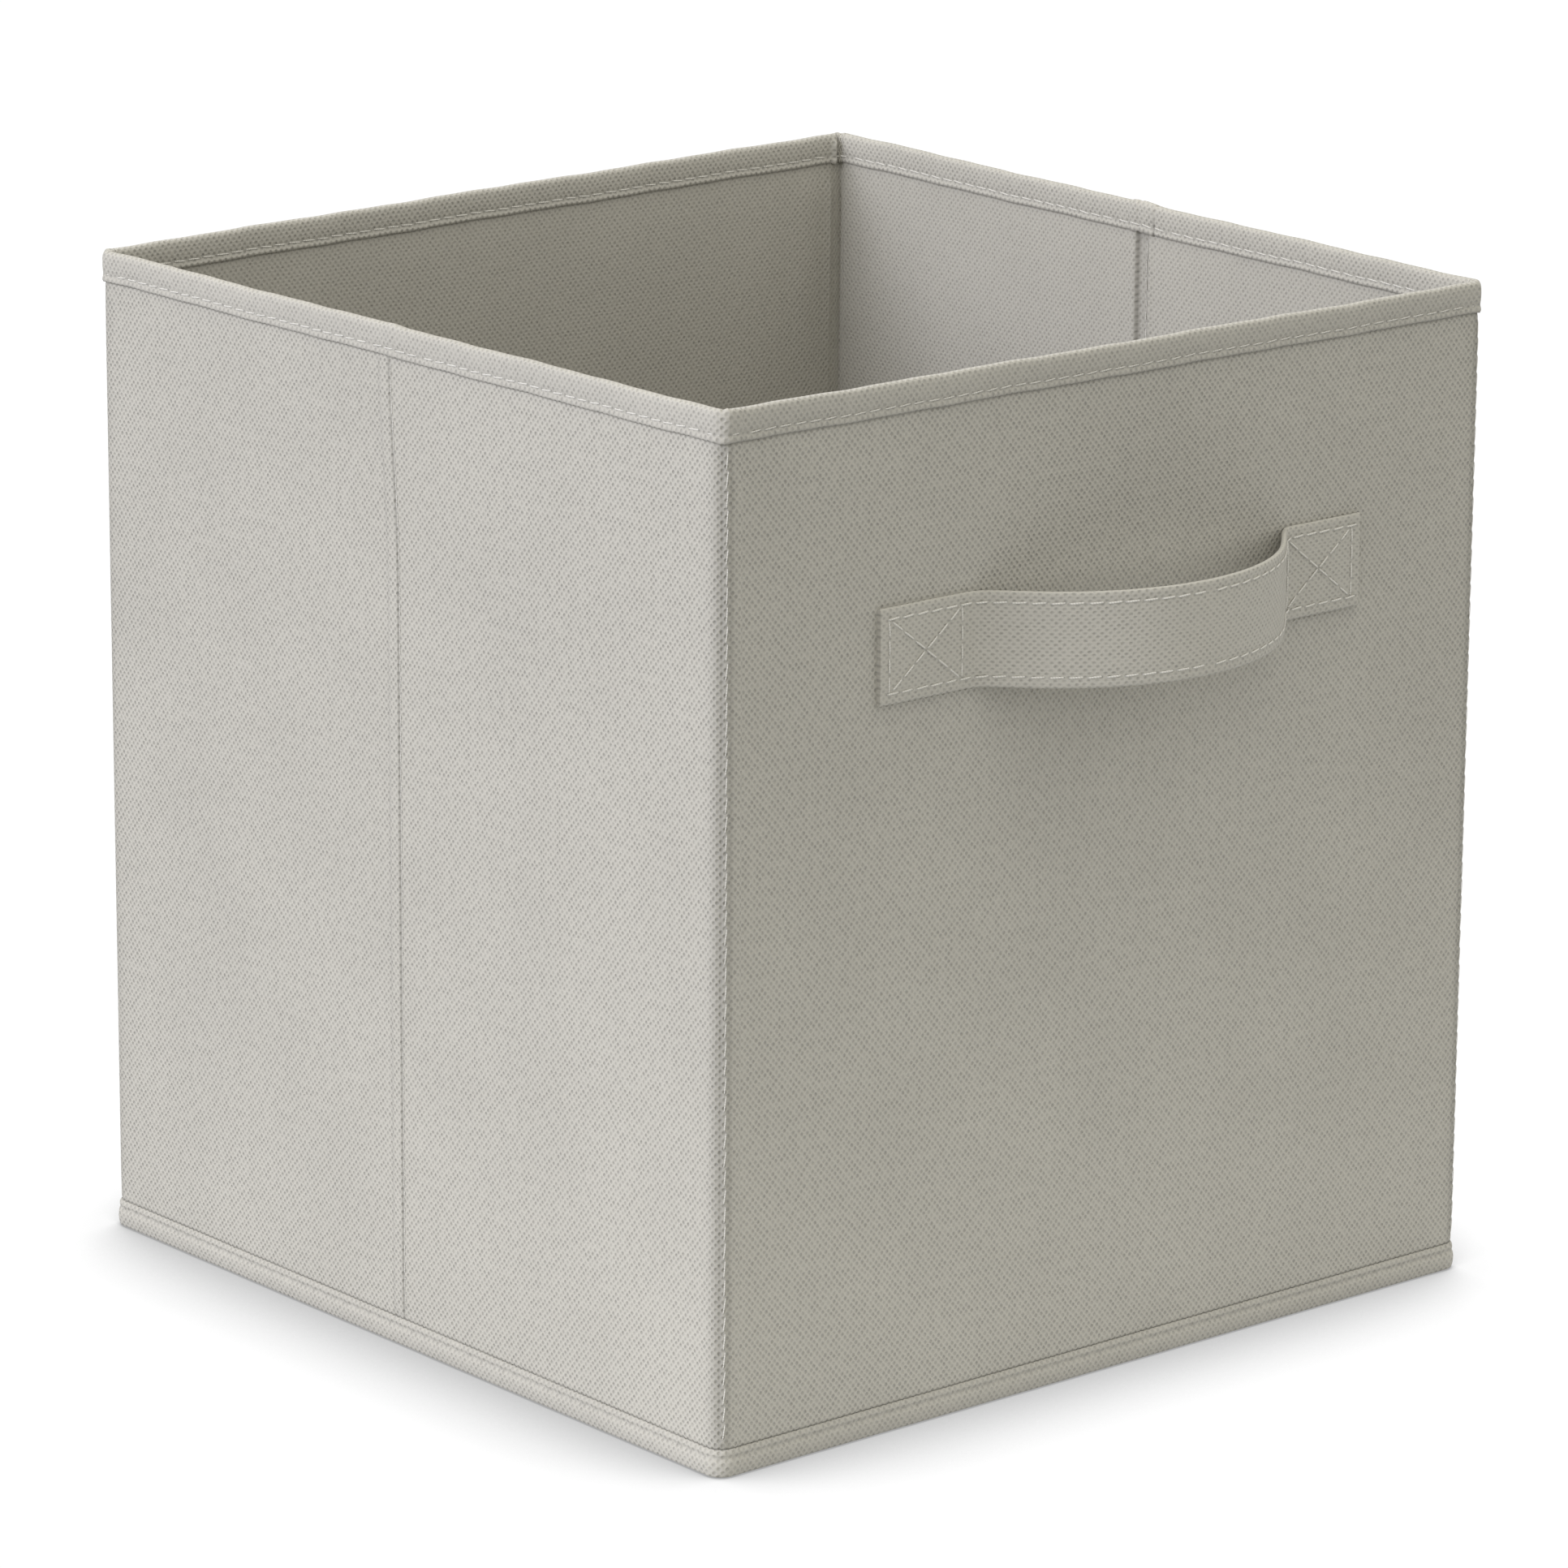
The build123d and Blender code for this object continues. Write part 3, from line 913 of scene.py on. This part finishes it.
def make_seam_stitches():
    """The stitches down the four corners and the two side seams, which also show inside at the creases."""
    outside = partial(on_cloth, relief=cover_relief, upright=True)
    inside = partial(on_cloth, relief=lining_relief, level=-WALL, side=-1, upright=True)
    for fold in FOLDS:
        work = ThreadWork()
        mid = fold["mid"]
        if "seam" in fold:
            rear = fold["rear"]

            def lapped(z, shift, mid=mid, rear=rear):
                return outside(z, mid + rear * (seam_line(z) - LAP_STITCH_SHIFT) + shift)

            work.row(lapped, (HEM_TOP + 1 * MM, 0), (RIM_FOOT, 0), thread=THREAD * 0.7)
            t = mid - rear * CREASE_STITCH_SHIFT
            work.row(inside, (WALL_FOOT + 2 * MM, t), (RIM_FOOT - 0.5 * MM, t), skew=0.5 * MM,
                     thread=THREAD * 0.8)
        else:
            t = mid - seam_gap(mid, fold["wall"]) - 0.1 * MM
            work.row(outside, (HEM_TOP + 0.2 * MM, t), (RIM_FOOT, t), LONG_STITCH, skew=0.6 * MM,
                     thread=THREAD * 0.8)
        obj = work.finish(f"{fold['name']}_seam_stitches")
        move_with_fold(obj, fold)


# ---- handle strap

# Sizes of the strap: its ends and its free bow from the frame, the rest as in the CAD
BOW_LOW, BOW_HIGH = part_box("handle_strap")
STRAP_LOW, STRAP_HIGH = BOW_LOW.z, BOW_HIGH.z
STRAP_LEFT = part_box("handle_left_end")[0].x
STRAP_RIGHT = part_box("handle_right_end")[1].x
STRAP_THICK = 1.5 * MM
BOW_MIDDLE = (BOW_LOW.x + BOW_HIGH.x) / 2
BOW_FREE = (BOW_HIGH.x - BOW_LOW.x) / 2
BOW = -HALF_Y - BOW_LOW.y - 0.8 * MM
BOW_RADIUS = 61.5 * MM
BOW_ANGLE = math.radians(45.7)
KNEE_WIDTHS = (3.4 * MM, 2.0 * MM)

# Where the strap leaves the wall, how far its stitches keep off its edges, and its crossed boxes
ROOTS = (-54.5 * MM, 60.4 * MM)
STRAP_MARGIN = 3.0 * MM
BOX_LENGTH = 24.6 * MM
STRAP_THREAD = 0.27 * MM
STRAP_EDGE = 0.75 * MM


def bow_out(x):
    """How far the strap's middle line stands off the wall: an arc, then straight down to its two knees."""
    edge = BOW_RADIUS * math.sin(BOW_ANGLE)
    d = np.abs(x - BOW_MIDDLE)
    arc = BOW - BOW_RADIUS + np.sqrt(np.clip(BOW_RADIUS**2 - np.minimum(d, edge) ** 2, 0, None))
    slope = math.tan(BOW_ANGLE)
    return np.maximum(arc - np.clip(d - edge, 0, None) * slope, STRAP_THICK / 2)


def strap_line():
    """The strap's middle line in plan, evenly spaced: points, outward directions and lengths along it."""
    xs = np.linspace(STRAP_LEFT, STRAP_RIGHT, 1601)
    outs = bow_out(xs)
    step = xs[1] - xs[0]
    for width, part in zip(KNEE_WIDTHS, (xs < BOW_MIDDLE, xs >= BOW_MIDDLE)):
        offsets = np.arange(-3 * width, 3 * width + step, step)
        kernel = bell(offsets, width)
        padded = np.pad(outs, len(offsets) // 2, mode="edge")
        smoothed = np.convolve(padded, kernel / kernel.sum(), mode="same")[len(offsets) // 2:][:len(xs)]
        outs = np.where(part, smoothed, outs)
    line = np.stack([xs, -HALF_Y - outs], axis=1)
    lengths = path_lengths(line)
    even = spaced(0, lengths[-1], 1.0 * MM)
    line = np.stack([np.interp(even, lengths, line[:, i]) for i in range(2)], axis=1)
    way = np.gradient(line, axis=0)
    way = way / np.linalg.norm(way, axis=1, keepdims=True)
    return line, np.stack([way[:, 1], -way[:, 0]], axis=1), even


LINE, LINE_OUT, LINE_LENGTH = strap_line()
STRAP_LENGTH = LINE_LENGTH[-1]
STRAP_MIDDLE = float(np.interp(BOW_MIDDLE, LINE[:, 0], LINE_LENGTH))


def strap_place(s, out, z):
    """Points at length s along the strap, `out` from its middle line and at height z."""
    s, out, z = np.broadcast_arrays(s, out, z)
    xy = np.stack([np.interp(s, LINE_LENGTH, LINE[:, i]) for i in range(2)], -1)
    normal = np.stack([np.interp(s, LINE_LENGTH, LINE_OUT[:, i]) for i in range(2)], -1)
    return np.concatenate([xy + normal * out[..., None], z[..., None]], -1)


def strap_relief(s, z):
    """Puff of the doubled strap: drawn in along its two edge rows and round the crossed boxes."""
    phase = 2 * np.pi * s / STITCH_PITCH
    relief = 0
    for row in (STRAP_LOW + STRAP_MARGIN, STRAP_HIGH - STRAP_MARGIN):
        relief = relief - 0.22 * bell(z - row, 0.9 * MM) * (0.75 - 0.25 * np.cos(phase))
    for end in (STRAP_MARGIN, STRAP_MARGIN + BOX_LENGTH):
        for line in (end, STRAP_LENGTH - end):
            relief = relief - 0.18 * bell(s - line, 0.9 * MM)
    return relief * MM


def strap_section():
    """Across the strap: places up its width, and its half thickness there, rounded at both edges."""
    high = (STRAP_HIGH - STRAP_LOW) / 2
    across = np.concatenate([[-high, -high + 0.12 * MM, -high + 0.4 * MM],
                             spaced(-high + 1 * MM, high - 1 * MM, 1 * MM),
                             [high - 0.4 * MM, high - 0.12 * MM, high]])
    past = np.clip((np.abs(across) - high + STRAP_EDGE) / STRAP_EDGE, 0, 1)
    return across, STRAP_THICK / 2 * np.sqrt(np.clip(1 - past**2, 0, 1))


def make_strap():
    """The strap in two lengths that meet at the middle of its bow, each shaped from the wall round a knee to
    the free bow.
    """
    middle_z = (STRAP_LOW + STRAP_HIGH) / 2
    across, edge = strap_section()
    lengths = (
        ("left", 0.0, STRAP_MIDDLE, ("handle_left_end", "handle_strap"), ROOTS[0], BOW_MIDDLE - BOW_FREE),
        ("right", STRAP_MIDDLE, STRAP_LENGTH, ("handle_right_end",), ROOTS[1], BOW_MIDDLE + BOW_FREE),
    )
    for side, start, end, nodes, root, free in lengths:
        stations = spaced(start, end, 1.0 * MM)
        s_grid, z_grid = np.meshgrid(stations, middle_z + across, indexing="ij")
        puff = strap_relief(s_grid, z_grid) * (edge > 0)
        face = strap_place(s_grid, edge + puff, z_grid)
        back = strap_place(s_grid, -edge - 0.4 * puff, z_grid)
        obj = closed_sheet(f"strap_{side}_length", face, back, np.stack([s_grid, z_grid], -1), STRAP)
        obj["flat"] = (float(end - start), float(STRAP_HIGH - STRAP_LOW))
        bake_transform(obj)
        declare_cloth(obj, nodes)
        stitches = strap_stitches(side, start, end)
        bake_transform(stitches)


def on_strap(s, z):
    """A point and the normal there on the strap's outer face."""
    height = float(strap_relief(np.array(s), np.array(z)))
    point = strap_place(np.array(s), np.array(STRAP_THICK / 2 + height), np.array(z))
    return point, np.array([*(np.interp(s, LINE_LENGTH, LINE_OUT[:, i]) for i in range(2)), 0.0])


def strap_stitches(side, start, end):
    """Edge rows along a strap length, and the crossed box that holds its end to the wall."""
    work = ThreadWork()
    low, high = STRAP_LOW + STRAP_MARGIN, STRAP_HIGH - STRAP_MARGIN
    for row in (low, high):
        work.row(on_strap, (start + 0.6 * MM, row), (end, row), thread=STRAP_THREAD)
    near, far = STRAP_MARGIN, STRAP_MARGIN + BOX_LENGTH
    if side == "right":
        near, far = STRAP_LENGTH - near, STRAP_LENGTH - far
    strokes = (((near, low), (near, high)), ((far, low), (far, high)), ((near, low), (far, high)),
               ((near, high), (far, low)))
    for first, last in strokes:
        work.row(on_strap, first, last, LONG_STITCH, skew=0.15 * MM, thread=STRAP_THREAD)
    return work.finish(f"strap_{side}_stitches")


# ---- base


BASE_RIPPLE = 0.12 * MM
BASE_CLOTH = 0.22 * MM
SLEEVE_CLOTH = 0.35 * MM
SLEEVE_SWELL = 0.3 * MM
SLEEVE_RADIUS = 0.8 * MM
SLEEVE_MARGIN = 3.5 * MM


def make_base_sheet():
    """The sewn-in base sheet. It rides on the back wall."""
    low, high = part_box("base_sheet")
    xs, ys = spaced(low.x, high.x, 6 * MM), spaced(low.y, high.y, 6 * MM)
    x, y = np.meshgrid(xs, ys, indexing="ij")
    ripple = BASE_RIPPLE * (np.sin(61 * x + 23 * y) * np.sin(47 * y - 31 * x + 1))
    top = np.stack([x, y, high.z + ripple], -1)
    bottom = np.stack([x, y, high.z - BASE_CLOTH + ripple], -1)
    sheet = closed_sheet("base_sheet_cloth", top, bottom, np.stack([x, y], -1), COVER)
    sheet["flat"] = (high.x - low.x, high.y - low.y)
    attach(sheet, "back_wall")
    declare_cloth(sheet, ["base_sheet"])
    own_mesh(sheet)


def sleeve_swell(x, y):
    """How slack the sleeve lies over its board."""
    return SLEEVE_SWELL * (1 + np.sin(37 * x + 1.2) * np.sin(41 * y + 0.4))


def sleeve_edge(low, high, rise, inset):
    """Across one side of the sleeve: places, how high each stands (0 to 1) and the cloth's length there."""
    top = rise - SLEEVE_RADIUS
    radius = SLEEVE_RADIUS - inset
    edge = [(inset, s * top) for s in (0.0, 0.5)]
    for turn in np.linspace(0, math.pi / 2, 5):
        edge.append((inset + radius * (1 - math.cos(turn)), top + radius * math.sin(turn)))
    near = np.array([(low + e, z) for e, z in edge])
    flat = spaced(low + 1.4 * MM, high - 1.4 * MM, 4 * MM)
    far = np.array([(high - e, z) for e, z in edge[::-1]])
    line = np.concatenate([near, np.stack([flat, np.full_like(flat, rise - inset)], 1), far])
    return line[:, 0], line[:, 1] / (rise - inset), path_lengths(line)


def sleeve_surface(low, high, sign, inset):
    """One half of the sleeve: over the board's face and down to the seam half way up its edges."""
    rise = (high.z - low.z) / 2
    xs, x_rise, u = sleeve_edge(low.x, high.x, rise, inset)
    ys, y_rise, v = sleeve_edge(low.y, high.y, rise, inset)
    x_grid, y_grid = np.meshgrid(xs, ys, indexing="ij")
    share = np.minimum(*np.meshgrid(x_rise, y_rise, indexing="ij"))
    lift = sleeve_swell(x_grid, y_grid) * ease(share, 0.7, 1) if sign > 0 else 0
    z_grid = (low.z + high.z) / 2 + sign * share * (rise - inset) + lift
    return np.stack([x_grid, y_grid, z_grid], -1), np.stack(np.meshgrid(u, v, indexing="ij"), -1)


def make_sleeve(low, high):
    """The sleeve round the loose base board, in two halves."""
    for side, sign in (("upper", 1), ("lower", -1)):
        face, uv = sleeve_surface(low, high, sign, 0)
        back, _ = sleeve_surface(low, high, sign, SLEEVE_CLOTH)
        if sign < 0:
            face, back = back, face
        obj = closed_sheet(f"base_sleeve_{side}_cloth", face, back, uv, LINING)
        obj["flat"] = (float(np.ptp(uv[..., 0])), float(np.ptp(uv[..., 1])))
        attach(obj, "loose_base")
        declare_cloth(obj, ["base_board_sleeve"] if sign > 0 else [])


def make_sleeve_stitches(low, high):
    """The row of stitches round the top of the sleeve."""
    work = ThreadWork()
    left, right = low.x + SLEEVE_MARGIN, high.x - SLEEVE_MARGIN
    front, back = low.y + SLEEVE_MARGIN, high.y - SLEEVE_MARGIN
    corners = [(left, front), (right, front), (right, back), (left, back)]

    def on_sleeve(x, y):
        return np.array([x, y, high.z + float(sleeve_swell(x, y))]), np.array([0.0, 0.0, 1.0])

    for first, last in zip(corners, corners[1:] + corners[:1]):
        work.row(on_sleeve, first, last)
    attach(work.finish("base_sleeve_stitches"), "loose_base")


# ---- floor, light and camera


# The floor's soft shadow: towards the light that casts it, how far it reaches, and its lightness
SHADOW_WAY = (0.52, 0.62, 0.60)
SHADOW_REACH = 75 * MM
SHADOW = (0.42, 1.03)
CONTACT_REACH = 22 * MM
CONTACT = (0.92, 1.0)
FLOOR_HALF = 12.0

# Where the floor lights the bin from below: its middle, how far it reaches, strength there and beyond
GLOW_MIDDLE = (-0.1, -0.25)
GLOW_REACH = 0.75
GLOW = (0.92, 0.22)

# World strength and colour; lamps as place, size, power and colour
WORLD = (0.975, (1.0, 0.985, 0.955))
KEY = ((-2.75, 0.5, 1.35), 1.4, 73.0, (0.86, 0.87, 1.0))
TOP = ((0.1, -0.3, 2.6), 2.0, 16.0, (1.0, 0.97, 0.85))

# The camera's place round the bin, its own roll and tilt in degrees, and its focal length in image widths
AZIMUTH, ELEVATION, ROLL, AIM_UP = (math.radians(v) for v in (-40.19, 15.29, 0.33, 0.16))
DISTANCE = 2.137
FOCAL_IN_WIDTHS = 9571 / 1932


def make_stage():
    """A pale floor, shaded softly where the bin keeps off the light from above and behind it."""
    n = Nodes("floor")
    inputs = {"Distance": SHADOW_REACH, "Normal": Vector(SHADOW_WAY).normalized()}
    shadow = n.add("ShaderNodeAmbientOcclusion", inputs, samples=16).outputs["AO"]
    contact = n.add("ShaderNodeAmbientOcclusion", {"Distance": CONTACT_REACH}, samples=8).outputs["AO"]
    seen = n.product(n.remap(shadow, 0.34, 0.78, *SHADOW), n.remap(contact, 0.45, 1.0, *CONTACT))
    where = n.add("ShaderNodeNewGeometry").outputs["Position"]
    offset = n.vector("LENGTH", n.vector("SUBTRACT", where, (*GLOW_MIDDLE, 0)))
    glow = n.remap(offset, 0.0, GLOW_REACH, *GLOW, smooth=True)
    direct = n.add("ShaderNodeLightPath").outputs["Is Camera Ray"]
    inputs = {MIX_FACTOR: direct, MIX_FLOAT_A: n.product(glow, seen), MIX_FLOAT_B: seen}
    strength = n.add("ShaderNodeMix", inputs, data_type="FLOAT").outputs[MIX_FLOAT_RESULT]
    emission = n.add("ShaderNodeEmission", {"Color": (1.0, 1.0, 1.0, 1.0), "Strength": strength})
    n.add("ShaderNodeOutputMaterial", {"Surface": emission.outputs["Emission"]})
    square = [(0, 0), (1, 0), (1, 1), (0, 1)]
    points = [(FLOOR_HALF * (2 * x - 1), FLOOR_HALF * (2 * y - 1), 0) for x, y in square]
    make_object("floor", points, [(0, 1, 2, 3)], square, n.material)


def area_light(name, where, size, power, colour):
    """A soft square light aimed at the middle of the bin."""
    data = bpy.data.lights.new(name, "AREA")
    data.energy = power
    data.size = size
    data.color = colour
    lamp = bpy.data.objects.new(name, data)
    lamp.location = where
    aim = Vector((0, 0, RIM / 2)) - Vector(where)
    lamp.rotation_euler = aim.to_track_quat("-Z", "Y").to_euler()
    bpy.context.scene.collection.objects.link(lamp)


def make_lights():
    """An even pale world, a key lamp from the left and a weak lamp above."""
    strength, colour = WORLD
    world = bpy.data.worlds.new("studio")
    world.use_nodes = True
    background = world.node_tree.nodes["Background"]
    background.inputs["Color"].default_value = (*colour, 1.0)
    background.inputs["Strength"].default_value = strength
    bpy.context.scene.world = world
    area_light("key", *KEY)
    area_light("top", *TOP)


def towards(azimuth, elevation):
    """The direction from the bin to a place at this azimuth and elevation; azimuth 0 is in front."""
    return Vector((math.sin(azimuth) * math.cos(elevation), -math.cos(azimuth) * math.cos(elevation),
                   math.sin(elevation)))


def make_camera():
    """The camera stands off the middle of the bin, aims a little above it and is rolled a little."""
    data = bpy.data.cameras.new("camera")
    data.sensor_width = 36
    data.lens = FOCAL_IN_WIDTHS * data.sensor_width
    data.clip_end = 100
    camera = bpy.data.objects.new("camera", data)
    forward = -towards(AZIMUTH, ELEVATION + AIM_UP)
    right = Vector((math.cos(AZIMUTH), math.sin(AZIMUTH), 0))
    up = right.cross(forward)
    rolled_right = right * math.cos(ROLL) + up * math.sin(ROLL)
    rolled_up = up * math.cos(ROLL) - right * math.sin(ROLL)
    turn = Matrix((rolled_right, rolled_up, -forward)).transposed().to_4x4()
    place_at = Vector((0, 0, RIM / 2)) + towards(AZIMUTH, ELEVATION) * DISTANCE
    camera.matrix_world = Matrix.Translation(place_at) @ turn
    bpy.context.scene.collection.objects.link(camera)
    bpy.context.scene.camera = camera
    bpy.context.scene.view_settings.view_transform = "Standard"


def finish_boards():
    """Chipboard on the boards that stay as they are."""
    for name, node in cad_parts.items():
        if name.endswith("_stiffener_board") or name == "base_board":
            node.data.materials.clear()
            node.data.materials.append(CHIPBOARD)


make_panels()
make_folds()
make_hems()
make_rim_stitches()
make_seam_stitches()
make_strap()
make_base_sheet()
make_sleeve(*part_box("base_board_sleeve"))
make_sleeve_stitches(*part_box("base_board_sleeve"))
finish_boards()
make_stage()
make_lights()
make_camera()
